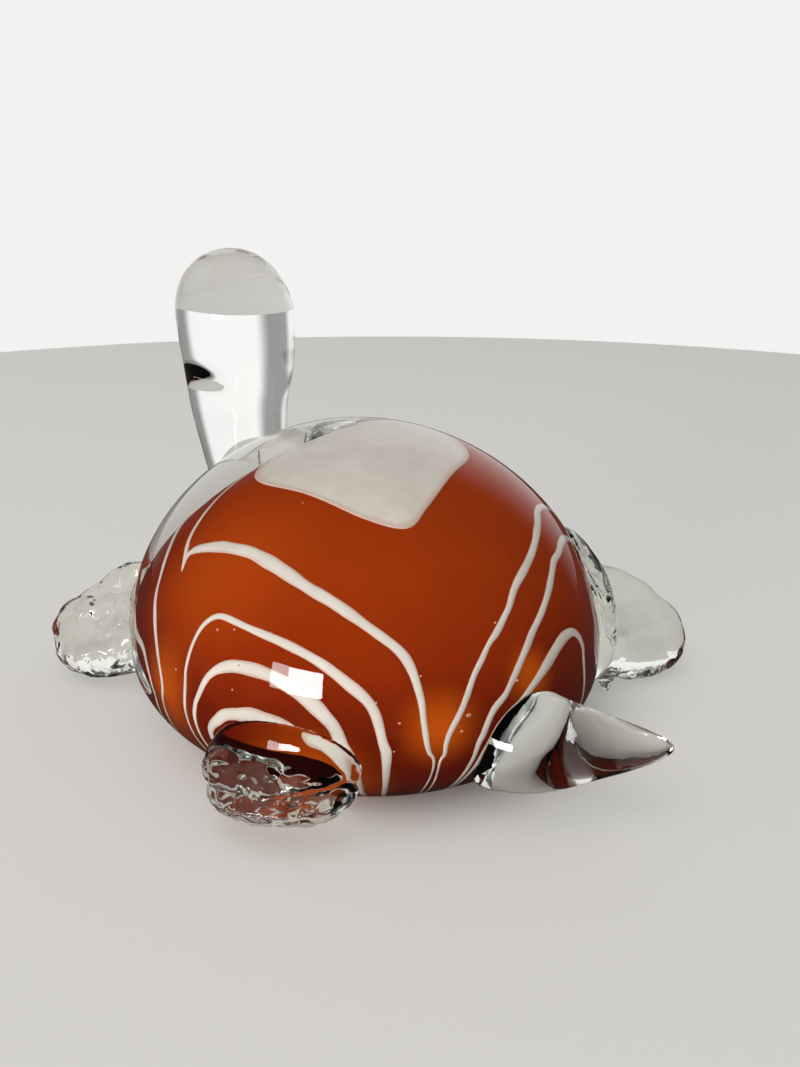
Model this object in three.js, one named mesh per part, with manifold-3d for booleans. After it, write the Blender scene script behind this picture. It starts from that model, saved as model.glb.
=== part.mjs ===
// Glass turtle: a rear-set orange core with raked white threads, cased in clear glass, with a clear
// neck and head, four pressed flippers and a drawn tail fused on hot.
import * as THREE from 'three';
import { mergeVertices } from 'three/addons/utils/BufferGeometryUtils.js';
import Module from 'manifold-3d';

const wasm = await Module();
wasm.setup();

// Lengths in millimetres and angles in degrees. X points to the head, Y to the turtle's left, Z up.
// Angles round the body start at the head and grow toward the turtle's left.

// Gap left between two pieces that are fused together on the real object.
const SEAM = 0.3;

// Clear body: a dome on a flat ground foot, a little longer than it is wide.
const BODY_HALF_WIDTH = 42;
const BODY_STRETCH = 1.08;
const BODY_HEIGHT = 54.5;
const WIDEST_HEIGHT = 15.2;
const FOOT_RADIUS = 31;
const DOME_POWER = 1.94;
const BODY_SIDES = 44;
const LOWER_STEPS = 5;
const UPPER_STEPS = 13;

// Orange core: a dome like the body, set nearer the tail, with a stem down to the ground foot.
const CORE_SHIFT = -6;
const CORE_HALF_LENGTH = 34.5;
const CORE_HALF_WIDTH = 36;
const CORE_WIDEST_HEIGHT = 14.5;
const CORE_RISE = 22.5;
const CORE_DROP = 12.5;
const CORE_SIDES = 32;
const CORE_RINGS = 16;
const STEM_RADIUS = 7;
const STEM_SIDES = 20;

// White trails, inlaid flush with the core. Each arch runs from one pulled-down end over its crest
// to the other: [angle, latitude] of the start, the crest and the end, then the crest half width.
const TRAIL_DEPTH = 0.7;
const TRAIL_STEPS = 13;
const TRAIL_SIDES = 4;
const GROOVE_RUN_OUT = 1;
const SHOULDER_ALONG = 0.1;
const SHOULDER_RISE = 0.75;
const BROAD = 1.3;
const FINE = 0.8;
const TRAILS = [
  [[154, -50], [104, 56.5], [53, 28], BROAD],
  [[141.5, -46], [91, 36], [83.5, -50], BROAD],
  [[135.5, -50], [103, 23.5], [86.5, -51], BROAD],
  [[131, -45], [108, 7.5], [90.5, -48], BROAD],
  [[157.5, -50], [230, 51.5], [268, -40], FINE],
  [[164.5, -50], [222, 43], [257, -48], FINE],
  [[169.5, -50], [203, 22.5], [203, -40], FINE],
  [[50, 36.5], [30, 33.5], [-15, 18], FINE],
  [[72, -42], [44, 17], [-22, -42], FINE],
  [[62, -42], [42, 1], [-10, -42], FINE],
  [[276, -42], [300, 30], [328, -42], FINE],
  [[284, -42], [301, 8], [319, -42], FINE],
];

// White crown patch: its outline seen from above, measured from the core's centre.
const PATCH_DEPTH = 0.8;
const PATCH_OUTLINE = [
  [-9.5, 3.5],
  [-3, 6.3],
  [7, 7.3],
  [24, 4],
  [26, -6],
  [20.5, -17],
  [12, -19.5],
  [4.5, -17.5],
  [-1, -9.5],
  [-6.5, -2.5],
];
const PATCH_POINTS = 26;

// Pressed flippers: the angle they leave the body at, how far they reach out from its flank, their
// height above the foot at the root, the middle and the tip, their half width and half thickness,
// how far they are rolled, the pad their root leaves on the flank (the height of its middle and its
// half height), and the side that keeps a full rim: 1 or -1, or 0 where both edges are alike. The
// lean of the flank is taken over a small step up and down from the pad's middle.
const FLIPPER_ROOT_DEPTH = 25;
const FLIPPER_BLUNTNESS = 2.5;
const PAD_HALF_WIDTH = 12;
const PAD_HALF_THICKNESS = 2.6;
const FLANK_STEP = 1;
const FRONT_FLIPPER = {
  reach: 20.8,
  heights: [16, 12, 10],
  halfWidth: 12.5,
  halfThickness: 7,
  pad: [15, 10],
};
const FLIPPERS = {
  front_left_flipper: { ...FRONT_FLIPPER, angle: 36, roll: -48, rim: 1 },
  front_right_flipper: { ...FRONT_FLIPPER, angle: -36, roll: 48, rim: -1 },
  rear_left_flipper: {
    angle: 123.5,
    reach: 7.5,
    heights: [12, 9, 9],
    halfWidth: 12.3,
    halfThickness: 7.5,
    roll: 3,
    pad: [12, 7],
    rim: 0,
  },
  rear_right_flipper: {
    angle: -116,
    reach: 24.8,
    heights: [16, 12, 7.5],
    halfWidth: 12,
    halfThickness: 7,
    roll: 52,
    pad: [20, 15],
    rim: -1,
  },
};

// The pressed web of a flipper with a rim: its thickness beside the rim's, how much it narrows to
// the tip, and the places across the flipper, from -1 to 1, where the web ends and the rim is full.
const WEB_SHARE = 0.45;
const WEB_TAPER = 0.35;
const WEB_END = -0.6;
const RIM_START = 0.75;

// How much a rim is pinched in at the root, and the shares of the length between which that eases.
const ROOT_PINCH = 0.5;
const PINCH_START = 0.27;
const PINCH_END = 0.79;

// Height of the pressed undersides above the foot.
const UNDERSIDE = 0.4;

// Tail: a drawn-out point swung to the turtle's right. Its path is measured outward from the tail end
// of the body, then sideways and up from the foot.
const TAIL_RADIUS = 10.3;
const TAIL_TAPER = 0.65;
const TAIL_ROOT_SHARE = 0.125;
const TAIL_PATH = [
  [-9.4, 1, 11.5],
  [-0.4, -0.5, 11],
  [7.6, -7, 10.8],
  [15.1, -14.5, 11.3],
];

// Neck and head: one club-shaped gather, given by its path and its half width along that path. The
// path is measured back from the front end of the body and up from its top.
const NECK_PATH = [
  [19.4, -30.5],
  [8.4, -18.5],
  [4.9, -4.5],
  [5.4, 7.5],
  [4.9, 17.5],
  [6.4, 27.5],
];
const NECK_HALF_WIDTHS = [
  [0, 0],
  [0.08, 10],
  [0.28, 8.2],
  [0.5, 9.6],
  [0.7, 11.1],
  [0.84, 11.4],
  [0.95, 7.6],
  [1, 0],
];
const HEAD_DEPTH_RATIO = 1.08;

const GATHER_SIDES = 14;
const GATHER_STEPS = 13;
const PAD_SIDES = 12;
const PAD_STEPS = 8;

const CLEAR = { color: 0xdfe6da, roughness: 0.05, metalness: 0 };
const ORANGE = { color: 0xa83a10, roughness: 0.2, metalness: 0 };
const WHITE = { color: 0xe4dfd6, roughness: 0.2, metalness: 0 };

const bodyHalfLength = BODY_STRETCH * BODY_HALF_WIDTH;
const coreCentre = new THREE.Vector3(CORE_SHIFT, 0, CORE_WIDEST_HEIGHT);
const upward = new THREE.Vector3(0, 0, 1);

function solid(geometry) {
  const bare = geometry.clone();
  bare.deleteAttribute('normal');
  bare.deleteAttribute('uv');
  const merged = mergeVertices(bare, 1e-4);
  return new wasm.Manifold(new wasm.Mesh({
    numProp: 3,
    vertProperties: new Float32Array(merged.attributes.position.array),
    triVerts: new Uint32Array(merged.index.array),
  }));
}

function fromSolid(body) {
  const mesh = body.getMesh();
  const geometry = new THREE.BufferGeometry();
  geometry.setAttribute('position', new THREE.BufferAttribute(mesh.vertProperties, 3));
  geometry.setIndex(new THREE.BufferAttribute(mesh.triVerts, 1));
  geometry.computeVertexNormals();
  return geometry;
}

// Half width of the clear body at a height, before it is stretched along its length.
function bodyRadius(height) {
  if (height < WIDEST_HEIGHT) {
    const inward = 1 - (FOOT_RADIUS / BODY_HALF_WIDTH) ** 2;
    return BODY_HALF_WIDTH * Math.sqrt(1 - inward * (1 - height / WIDEST_HEIGHT) ** 2);
  }
  const rise = (height - WIDEST_HEIGHT) / (BODY_HEIGHT - WIDEST_HEIGHT);
  return BODY_HALF_WIDTH * (1 - rise ** 2) ** (1 / DOME_POWER);
}

// The outside of the clear body, grown by a margin so that seats can be cut from it.
function bodySolid(margin) {
  const profile = [new THREE.Vector2(0, -margin)];
  for (let i = 0; i < LOWER_STEPS; i += 1) {
    const height = WIDEST_HEIGHT * (i / LOWER_STEPS);
    profile.push(new THREE.Vector2(bodyRadius(height) + margin, i === 0 ? -margin : height));
  }
  for (let i = 0; i < UPPER_STEPS; i += 1) {
    const turn = (Math.PI / 2) * (i / UPPER_STEPS);
    const height = WIDEST_HEIGHT + (BODY_HEIGHT - WIDEST_HEIGHT) * Math.sin(turn);
    const spread = margin * Math.cos(turn);
    profile.push(new THREE.Vector2(bodyRadius(height) + spread, height + margin * Math.sin(turn)));
  }
  profile.push(new THREE.Vector2(0, BODY_HEIGHT + margin));
  const dome = new THREE.LatheGeometry(profile, BODY_SIDES);
  dome.rotateX(Math.PI / 2);
  dome.scale(BODY_STRETCH, 1, 1);
  return solid(dome);
}

// Half sizes of the core above or below its widest height, grown or shrunk by a margin.
function coreSize(above, margin) {
  const height = above ? CORE_RISE : CORE_DROP;
  return new THREE.Vector3(CORE_HALF_LENGTH + margin, CORE_HALF_WIDTH + margin, height + margin);
}

// The dome of the core without its stem, grown or shrunk by a margin.
function coreDome(margin) {
  const dome = new THREE.SphereGeometry(1, CORE_SIDES, CORE_RINGS);
  dome.rotateX(Math.PI / 2);
  const spots = dome.attributes.position;
  const spot = new THREE.Vector3();
  for (let i = 0; i < spots.count; i += 1) {
    spot.fromBufferAttribute(spots, i);
    spot.multiply(coreSize(spot.z > 0, margin)).add(coreCentre);
    spots.setXYZ(i, spot.x, spot.y, spot.z);
  }
  return solid(dome);
}

// The stem from the foot up into the core, with its lower end at the given height.
function stemSolid(margin, lower) {
  const length = coreCentre.z - lower;
  const stem = new THREE.CylinderGeometry(STEM_RADIUS + margin, STEM_RADIUS + margin, length, STEM_SIDES);
  stem.rotateX(Math.PI / 2);
  stem.translate(coreCentre.x, 0, lower + length / 2);
  return solid(stem);
}

// A gather of hot glass: a ball drawn along a path, with both ends closed to a point. Its half width
// and half thickness follow the share along the path and the place across it, from -1 to 1.
function gather(place, halfWidth, halfThickness, sides, steps) {
  const ball = new THREE.SphereGeometry(1, sides, steps);
  const spots = ball.attributes.position;
  const grid = ball.attributes.uv;
  for (let i = 0; i < spots.count; i += 1) {
    const step = Math.round((1 - grid.getY(i)) * steps);
    const along = (1 - Math.cos(Math.PI * (step / steps))) / 2;
    const round = 2 * Math.PI * Math.floor(grid.getX(i) * sides + 0.25) / sides;
    const { centre, side, over } = place(along);
    const spot = centre.clone();
    if (step > 0 && step < steps) {
      const across = Math.cos(round);
      spot.addScaledVector(side, halfWidth(along, across) * across);
      spot.addScaledVector(over, -halfThickness(along, across) * Math.sin(round));
    }
    spots.setXYZ(i, spot.x, spot.y, spot.z);
  }
  return solid(ball);
}

// Frame along a path in space, kept upright by a reference direction.
function alongPath(points, reference, roll) {
  const turn = THREE.MathUtils.degToRad(roll);
  const path = new THREE.CatmullRomCurve3(points.map((p) => new THREE.Vector3(...p)));
  return (along) => {
    const centre = path.getPointAt(along);
    const ahead = path.getTangentAt(along);
    const side = new THREE.Vector3().crossVectors(reference, ahead).normalize();
    side.applyAxisAngle(ahead, turn);
    const over = new THREE.Vector3().crossVectors(ahead, side).normalize();
    return { centre, side, over };
  };
}

// Spot on the core at an angle round the body and a latitude, with the outward direction there.
function onCore(angle, latitude) {
  const turn = THREE.MathUtils.degToRad(angle);
  const lift = THREE.MathUtils.degToRad(latitude);
  const unit = new THREE.Vector3(
    Math.cos(lift) * Math.cos(turn),
    Math.cos(lift) * Math.sin(turn),
    Math.sin(lift),
  );
  const size = coreSize(latitude > 0, 0);
  const spot = unit.clone().multiply(size).add(coreCentre);
  const outward = unit.divide(size).normalize();
  return { spot, outward };
}

// Frame along a raked arch on the core: up one leg, over the crest and down the other.
function alongArch([start, crest, end]) {
  const shoulder = (foot) => [
    foot[0] + SHOULDER_ALONG * (crest[0] - foot[0]),
    foot[1] + SHOULDER_RISE * (crest[1] - foot[1]),
  ];
  const knots = [start, shoulder(start), crest, shoulder(end), end];
  const line = new THREE.SplineCurve(knots.map((knot) => new THREE.Vector2(...knot)));
  return (along) => {
    const here = line.getPointAt(along);
    const before = line.getPointAt(Math.max(0, along - 0.01));
    const after = line.getPointAt(Math.min(1, along + 0.01));
    const { spot, outward } = onCore(here.x, here.y);
    const ahead = onCore(after.x, after.y).spot.sub(onCore(before.x, before.y).spot).normalize();
    const side = new THREE.Vector3().crossVectors(outward, ahead).normalize();
    return { centre: spot, ahead, side, over: outward };
  };
}

// One trail; the groove for it is wider and deeper and runs out past both ends.
function trailSolid(trail, margin) {
  const arch = alongArch(trail);
  const place = (along) => {
    const frame = arch(along);
    if (margin > 0 && (along === 0 || along === 1)) {
      frame.centre.addScaledVector(frame.ahead, along === 0 ? -GROOVE_RUN_OUT : GROOVE_RUN_OUT);
    }
    return frame;
  };
  const swell = (along) => Math.sin(Math.PI * along) ** 0.9;
  return gather(
    place,
    (along) => margin + trail[3] * swell(along),
    (along) => margin + TRAIL_DEPTH * swell(along) ** 0.4,
    TRAIL_SIDES,
    TRAIL_STEPS,
  );
}

// Upright column over the crown patch, grown by a margin all round its outline.
function patchColumn(margin) {
  const knots = PATCH_OUTLINE.map(([x, y]) => new THREE.Vector3(x, y, 0));
  const outline = new THREE.CatmullRomCurve3(knots, true);
  const edge = [];
  for (let i = 0; i < PATCH_POINTS; i += 1) {
    const spot = outline.getPointAt(i / PATCH_POINTS);
    const ahead = outline.getTangentAt(i / PATCH_POINTS);
    edge.push(new THREE.Vector2(spot.x - margin * ahead.y, spot.y + margin * ahead.x));
  }
  const column = new THREE.ExtrudeGeometry(new THREE.Shape(edge), {
    depth: 2 * CORE_RISE,
    bevelEnabled: false,
  });
  column.translate(coreCentre.x, 0, coreCentre.z);
  return solid(column);
}

// The pad of glass that a root leaves on the flank, leaning with the flank.
function padSolid(angle, [height, halfHeight]) {
  const turn = THREE.MathUtils.degToRad(angle);
  const pad = new THREE.SphereGeometry(1, PAD_SIDES, PAD_STEPS);
  pad.scale(PAD_HALF_THICKNESS, PAD_HALF_WIDTH, halfHeight);
  const inward = bodyRadius(height + FLANK_STEP) - bodyRadius(height - FLANK_STEP);
  pad.rotateY(Math.atan2(inward, 2 * FLANK_STEP));
  pad.rotateZ(turn);
  const flank = bodyRadius(height);
  pad.translate(BODY_STRETCH * flank * Math.cos(turn), flank * Math.sin(turn), height);
  return solid(pad);
}

function flipperSolid({ angle, reach, heights, halfWidth, halfThickness, roll, pad, rim }) {
  const turn = THREE.MathUtils.degToRad(angle);
  const flank = Math.hypot(bodyHalfLength * Math.cos(turn), BODY_HALF_WIDTH * Math.sin(turn));
  const root = flank - FLIPPER_ROOT_DEPTH;
  const tip = flank + reach;
  const radii = [root, (root + tip) / 2, tip];
  const knots = radii.map((radius, i) => [radius * Math.cos(turn), radius * Math.sin(turn), heights[i]]);
  const blunt = (share) => (1 - Math.abs(2 * share - 1) ** FLIPPER_BLUNTNESS) ** (1 / FLIPPER_BLUNTNESS);
  const width = (along, across) => {
    const narrowed = WEB_TAPER * Math.max(0, -rim * across) * along ** 4;
    const nearRoot = 1 - THREE.MathUtils.smoothstep(along, PINCH_START, PINCH_END);
    const pinched = ROOT_PINCH * Math.max(0, rim * across) * nearRoot;
    return halfWidth * blunt(along ** 1.5) * (1 - narrowed - pinched);
  };
  const thickness = (along, across) => {
    const toRim = rim === 0 ? 1 : THREE.MathUtils.smoothstep(rim * across, WEB_END, RIM_START);
    return halfThickness * blunt(along) * (WEB_SHARE + (1 - WEB_SHARE) * toRim);
  };
  const paddle = gather(alongPath(knots, upward, roll), width, thickness, GATHER_SIDES, GATHER_STEPS);
  return paddle.add(padSolid(angle, pad));
}

function tailSolid() {
  const knots = TAIL_PATH.map(([out, side, height]) => [-bodyHalfLength - out, side, height]);
  const radius = (along) => {
    const rounded = Math.min(1, along / TAIL_ROOT_SHARE) ** 0.5;
    return TAIL_RADIUS * (1 - along) ** TAIL_TAPER * rounded;
  };
  return gather(alongPath(knots, upward, 0), radius, radius, GATHER_SIDES, GATHER_STEPS);
}

function neckSolid() {
  const knots = NECK_HALF_WIDTHS.map((knot) => new THREE.Vector2(...knot));
  const outline = new THREE.SplineCurve(knots);
  const width = (along) => {
    let low = 0;
    let high = 1;
    for (let i = 0; i < 30; i += 1) {
      const middle = (low + high) / 2;
      if (outline.getPoint(middle).x < along) {
        low = middle;
      } else {
        high = middle;
      }
    }
    return outline.getPoint(low).y;
  };
  const depth = (along) => HEAD_DEPTH_RATIO * width(along);
  const path = NECK_PATH.map(([back, up]) => [bodyHalfLength - back, 0, BODY_HEIGHT + up]);
  const forward = new THREE.Vector3(1, 0, 0);
  return gather(alongPath(path, forward, 0), width, depth, GATHER_SIDES, GATHER_STEPS);
}

const object = new THREE.Group();
object.name = 'glass_turtle';

function addPiece(name, body, look) {
  const mesh = new THREE.Mesh(fromSolid(body), new THREE.MeshStandardMaterial(look));
  mesh.name = name;
  object.add(mesh);
}

const dome = coreDome(0);
const patch = patchColumn(0).intersect(dome.subtract(coreDome(-PATCH_DEPTH)));
const patchRecess = patchColumn(SEAM).subtract(coreDome(-PATCH_DEPTH - SEAM));
let core = dome.add(stemSolid(0, 0)).subtract(patchRecess);
TRAILS.forEach((trail) => {
  core = core.subtract(trailSolid(trail, SEAM));
});
addPiece('orange_core', core, ORANGE);

const cavity = coreDome(SEAM).add(stemSolid(SEAM, -1));
addPiece('clear_casing', bodySolid(0).subtract(cavity), CLEAR);
addPiece('white_crown_patch', patch, WHITE);
TRAILS.forEach((trail, i) => {
  addPiece(`white_trail_${String(i + 1).padStart(2, '0')}`, trailSolid(trail, 0).intersect(dome), WHITE);
});

const underneath = new THREE.BoxGeometry(9 * BODY_HALF_WIDTH, 9 * BODY_HALF_WIDTH, BODY_HEIGHT);
underneath.translate(0, 0, UNDERSIDE - BODY_HEIGHT / 2);
const seat = bodySolid(SEAM).add(solid(underneath));
addPiece('neck_and_head', neckSolid().subtract(seat), CLEAR);
Object.entries(FLIPPERS).forEach(([name, flipper]) => {
  addPiece(name, flipperSolid(flipper).subtract(seat), CLEAR);
});
addPiece('tail', tailSolid().subtract(seat), CLEAR);

const box = new THREE.Box3().setFromObject(object);
const middle = box.getCenter(new THREE.Vector3());
object.position.set(-middle.x, -middle.y, -box.min.z);

export default object;
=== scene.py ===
# %% [markdown]
# # A glass turtle
# A solid glass turtle is built here around its measured frame: an opaque orange core with raked
# white threads, a thick clear casing, and a clear neck, flippers and tail that were fused on hot.
# The first cell loads the frame and keeps its box, whose middle gives the body's axis. Everything is in
# metres, with +X to the head and +Z up.

# %% Load the frame
import math

import bmesh
import bpy
import numpy as np
from mathutils import Matrix, Vector


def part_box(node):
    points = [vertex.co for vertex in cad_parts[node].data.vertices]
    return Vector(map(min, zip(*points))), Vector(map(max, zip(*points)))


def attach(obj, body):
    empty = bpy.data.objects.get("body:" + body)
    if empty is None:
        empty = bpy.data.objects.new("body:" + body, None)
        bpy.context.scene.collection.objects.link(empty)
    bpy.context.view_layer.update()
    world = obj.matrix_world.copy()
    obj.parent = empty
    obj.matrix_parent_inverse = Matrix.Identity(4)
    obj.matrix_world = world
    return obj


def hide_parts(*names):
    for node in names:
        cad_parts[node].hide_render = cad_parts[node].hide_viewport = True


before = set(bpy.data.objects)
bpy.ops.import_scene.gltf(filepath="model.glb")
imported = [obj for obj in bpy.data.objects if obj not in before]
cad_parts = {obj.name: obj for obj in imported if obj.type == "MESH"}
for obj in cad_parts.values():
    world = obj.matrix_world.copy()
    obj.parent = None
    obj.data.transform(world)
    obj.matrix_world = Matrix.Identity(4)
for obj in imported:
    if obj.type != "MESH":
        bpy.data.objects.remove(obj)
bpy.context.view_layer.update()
MM = 0.001
low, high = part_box("clear_casing")
BODY = np.array([(low.x + high.x) / 2, (low.y + high.y) / 2, 0.0])
print("frame loaded:", len(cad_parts), "nodes, body axis at", BODY.round(4).tolist())

# %% [markdown]
# Sizes are worked out in millimetres from the foot of the body axis, as a maker would measure them.
# One helper turns such a spot into the frame's metres, one selects a piece and nothing else, and
# one adds a modifier and applies it, so that every piece ends as a plain mesh.

# %% Small helpers


def to_frame(spot):
    return Vector(BODY + MM * np.asarray(spot))


def only(*pieces):
    bpy.ops.object.select_all(action="DESELECT")
    for piece in pieces:
        piece.select_set(True)
    bpy.context.view_layer.objects.active = pieces[0]


def apply_modifier(piece, kind, **settings):
    only(piece)
    modifier = piece.modifiers.new(kind.title(), kind)
    for name, value in settings.items():
        setattr(modifier, name, value)
    bpy.ops.object.modifier_apply(modifier=modifier.name)


def measure(piece):
    spots = np.array([corner.co for corner in piece.data.vertices])
    size = (spots.max(0) - spots.min(0)) / MM
    print(piece.name, len(piece.data.polygons), "faces,", size.round(1).tolist(), "mm")


# %% [markdown]
# Hot glass is shaped by drawing it out, and the same thing can be done with a mesh: a filled circle
# is extruded again and again, and each new ring is set to the next cross-section. The start and the
# end stay closed by their own face, so the result is one closed body.

# %% Draw a body out ring by ring


def draw_out(name, rings):
    bpy.ops.object.select_all(action="DESELECT")
    bpy.ops.mesh.primitive_circle_add(vertices=len(rings[0]), radius=MM, fill_type="NGON")
    body = bpy.context.object
    body.name = name
    bpy.ops.object.mode_set(mode="EDIT")
    for i, ring in enumerate(rings):
        if i > 0:
            bpy.ops.mesh.extrude_region_move()
        mesh = bmesh.from_edit_mesh(body.data)
        ends = [corner for corner in mesh.verts if corner.select]
        for corner, spot in zip(ends, ring):
            corner.co = to_frame(spot)
        bmesh.update_edit_mesh(body.data)
    bpy.ops.mesh.select_all(action="SELECT")
    bpy.ops.mesh.normals_make_consistent(inside=False)
    bpy.ops.object.mode_set(mode="OBJECT")
    bpy.ops.object.shade_smooth()
    return body


# %% [markdown]
# A gather is a lump of hot glass drawn along a line. Its line is a smooth curve through a few knots,
# and it is read at shares of its length that crowd toward both ends, so that the ends come out round.

# %% Smooth lines and gathers
STEPS_PER_KNOT = 40
THINNEST = 0.02


def along_line(knots, shares):
    knots = np.array(knots, float)
    ends = np.vstack([2 * knots[0] - knots[1], knots, 2 * knots[-1] - knots[-2]])
    fine = []
    for a, b, c, d in zip(ends, ends[1:], ends[2:], ends[3:]):
        for t in np.linspace(0, 1, STEPS_PER_KNOT, endpoint=False):
            bend = (2 * a - 5 * b + 4 * c - d) * t**2 + (3 * b - a - 3 * c + d) * t**3
            fine.append(b + 0.5 * ((c - a) * t + bend))
    fine = np.array(fine + [knots[-1]])
    steps = np.linalg.norm(np.diff(fine, axis=0), axis=1)
    reached = np.concatenate([[0], np.cumsum(steps)]) / steps.sum()
    return np.column_stack([np.interp(shares, reached, column) for column in fine.T])


def crowded_shares(count):
    return (1 - np.cos(np.linspace(0, np.pi, count))) / 2


def unit(rows):
    return rows / np.linalg.norm(rows, axis=-1, keepdims=True)


def smooth_step(value, low, high):
    share = np.clip((value - low) / (high - low), 0, 1)
    return share * share * (3 - 2 * share)


def gather(name, line, side, over, half_width, half_thickness, sides=48, section=None):
    shares = crowded_shares(len(line))
    turns = np.linspace(0, 2 * np.pi, sides, endpoint=False)
    rings = []
    for i, centre in enumerate(line):
        wide, thick = section(turns, shares[i]) if section else (1.0, 1.0)
        across = np.outer(np.cos(turns) * wide * max(half_width[i], THINNEST), side[i])
        upward = np.outer(np.sin(turns) * thick * max(half_thickness[i], THINNEST), over[i])
        rings.append(centre + across + upward)
    return draw_out(name, rings)


# %% [markdown]
# ## The clear body
# The body is a dome on a flat ground foot, a little longer than it is wide. Below its widest height
# the flank curves in to the foot, and above it the dome closes in one even sweep. The same outline,
# grown or shrunk by a margin, later cuts the seats for everything that is fused on.

# %% Clear body outline
BODY_HALF_WIDTH = 42.0
BODY_STRETCH = 1.08
BODY_HEIGHT = 54.5
WIDEST_HEIGHT = 15.2
FOOT_RADIUS = 31.0
DOME_POWER = 1.94
FOOT_ROUNDING = 0.7
BODY_SIDES = 160
FLANK_STEPS = 15
DOME_STEPS = 44
POLE_RADIUS = 0.05


def body_radius(height):
    if height < WIDEST_HEIGHT:
        inward = 1 - (FOOT_RADIUS / BODY_HALF_WIDTH) ** 2
        return BODY_HALF_WIDTH * math.sqrt(1 - inward * (1 - height / WIDEST_HEIGHT) ** 2)
    rise = min(1.0, (height - WIDEST_HEIGHT) / (BODY_HEIGHT - WIDEST_HEIGHT))
    return BODY_HALF_WIDTH * (1 - rise**2) ** (1 / DOME_POWER)


def dome_form(name, margin):
    turns = np.linspace(0, 2 * np.pi, BODY_SIDES, endpoint=False)
    profile = [(body_radius(0) + margin, -margin)]
    for height in np.linspace(0, WIDEST_HEIGHT, FLANK_STEPS)[1:-1]:
        profile.append((body_radius(height) + margin, height))
    for turn in np.linspace(0, np.pi / 2, DOME_STEPS):
        height = WIDEST_HEIGHT + (BODY_HEIGHT - WIDEST_HEIGHT) * math.sin(turn)
        radius = body_radius(height) + margin * math.cos(turn)
        profile.append((max(radius, POLE_RADIUS), height + margin * math.sin(turn)))
    rings = []
    for radius, height in profile:
        x, y = BODY_STRETCH * radius * np.cos(turns), radius * np.sin(turns)
        rings.append(np.column_stack([x, y, np.full(BODY_SIDES, height)]))
    return draw_out(name, rings)


casing = dome_form("clear_casing_glass", 0.0)
measure(casing)

# %% [markdown]
# A ground foot never keeps a knife edge, because it would chip. The edge loop at the foot is picked
# by its height and beveled.

# %% Round the foot's edge
AT_FOOT = 1e-6
only(casing)
bpy.ops.object.mode_set(mode="EDIT")
bpy.ops.mesh.select_all(action="DESELECT")
mesh = bmesh.from_edit_mesh(casing.data)
for edge in mesh.edges:
    edge.select = all(corner.co.z < AT_FOOT for corner in edge.verts)
bmesh.update_edit_mesh(casing.data)
bpy.ops.mesh.bevel(offset=FOOT_ROUNDING * MM, segments=3, affect="EDGES")
bpy.ops.object.mode_set(mode="OBJECT")
measure(casing)

# %% [markdown]
# ## The orange core
# Inside the clear glass sits an opaque orange core, a lower dome set toward the tail, with a short
# stem down to the foot. It starts as a ball: the upper half and the lower half are scaled by their
# own heights, and the faces round the lower pole are extruded down to make the stem. Its front slants
# back above the widest height, which leaves the clear shoulder under the neck.

# %% Core form
CORE_SHIFT = -6.0
CORE_HALF_LENGTH = 34.5
CORE_HALF_WIDTH = 36.0
CORE_WIDEST_HEIGHT = 14.5
CORE_RISE = 22.5
CORE_DROP = 12.5
STEM_RADIUS = 7.0
SLANT = 0.3
SLANT_START = 18.0
SLANT_EASE = 6.0
SLANT_RISE = 12.0
SEAM = 0.3
OFF_MIDDLE = 1e-7
CORE_CENTRE = np.array([CORE_SHIFT, 0.0, CORE_WIDEST_HEIGHT])


def core_form(name, margin, stem_end):
    radius = CORE_HALF_WIDTH + margin
    bpy.ops.object.select_all(action="DESELECT")
    bpy.ops.mesh.primitive_uv_sphere_add(segments=128, ring_count=64, radius=radius * MM)
    core = bpy.context.object
    core.name = name
    bpy.ops.object.mode_set(mode="EDIT")
    middle = (0.0, 0.0, 0.0)
    lengthwise = ((CORE_HALF_LENGTH + margin) / radius, 1, 1)
    bpy.ops.transform.resize(value=lengthwise, center_override=middle)
    for above, height in ((True, CORE_RISE + margin), (False, CORE_DROP + margin)):
        mesh = bmesh.from_edit_mesh(core.data)
        for corner in mesh.verts:
            corner.select = (corner.co.z > OFF_MIDDLE) if above else (corner.co.z < -OFF_MIDDLE)
        mesh.select_flush_mode()
        bmesh.update_edit_mesh(core.data)
        bpy.ops.transform.resize(value=(1, 1, height / radius), center_override=middle)
    bpy.ops.mesh.select_all(action="SELECT")
    bpy.ops.transform.translate(value=to_frame(CORE_CENTRE))
    draw_stem(core, stem_end)
    bpy.ops.object.mode_set(mode="OBJECT")
    bpy.ops.object.shade_smooth()
    return core


def draw_stem(core, stem_end):
    mesh = bmesh.from_edit_mesh(core.data)
    axis = to_frame(CORE_CENTRE)
    bpy.ops.mesh.select_all(action="DESELECT")
    for face in mesh.faces:
        out = face.calc_center_median() - axis
        face.select = out.z < 0 and math.hypot(out.x, out.y) < STEM_RADIUS * MM
    bmesh.update_edit_mesh(core.data)
    bpy.ops.mesh.extrude_region_move()
    mesh = bmesh.from_edit_mesh(core.data)
    for corner in mesh.verts:
        if corner.select:
            corner.co.z = stem_end * MM
    bmesh.update_edit_mesh(core.data)


core = core_form("orange_core_glass", 0.0, 0.0)
measure(core)

# %% [markdown]
# The casing was gathered over the core, so it is hollow exactly where the core sits. A copy of the
# core's form, grown by the seam, is taken out of the dome with a Boolean. Moving vertices in code is
# the quickest way to slant the front, because the core, the hollow and later the white glass have to
# follow the very same curve.

# %% Make room for the core
HOLLOW_END = -1.0


def read_spots(piece):
    spots = np.empty(3 * len(piece.data.vertices), np.float32)
    piece.data.vertices.foreach_get("co", spots)
    return (spots.reshape(-1, 3) - BODY) / MM


def write_spots(piece, spots):
    flat = (BODY + MM * spots).astype(np.float32).ravel()
    piece.data.vertices.foreach_set("co", flat)
    piece.data.update()


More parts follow.
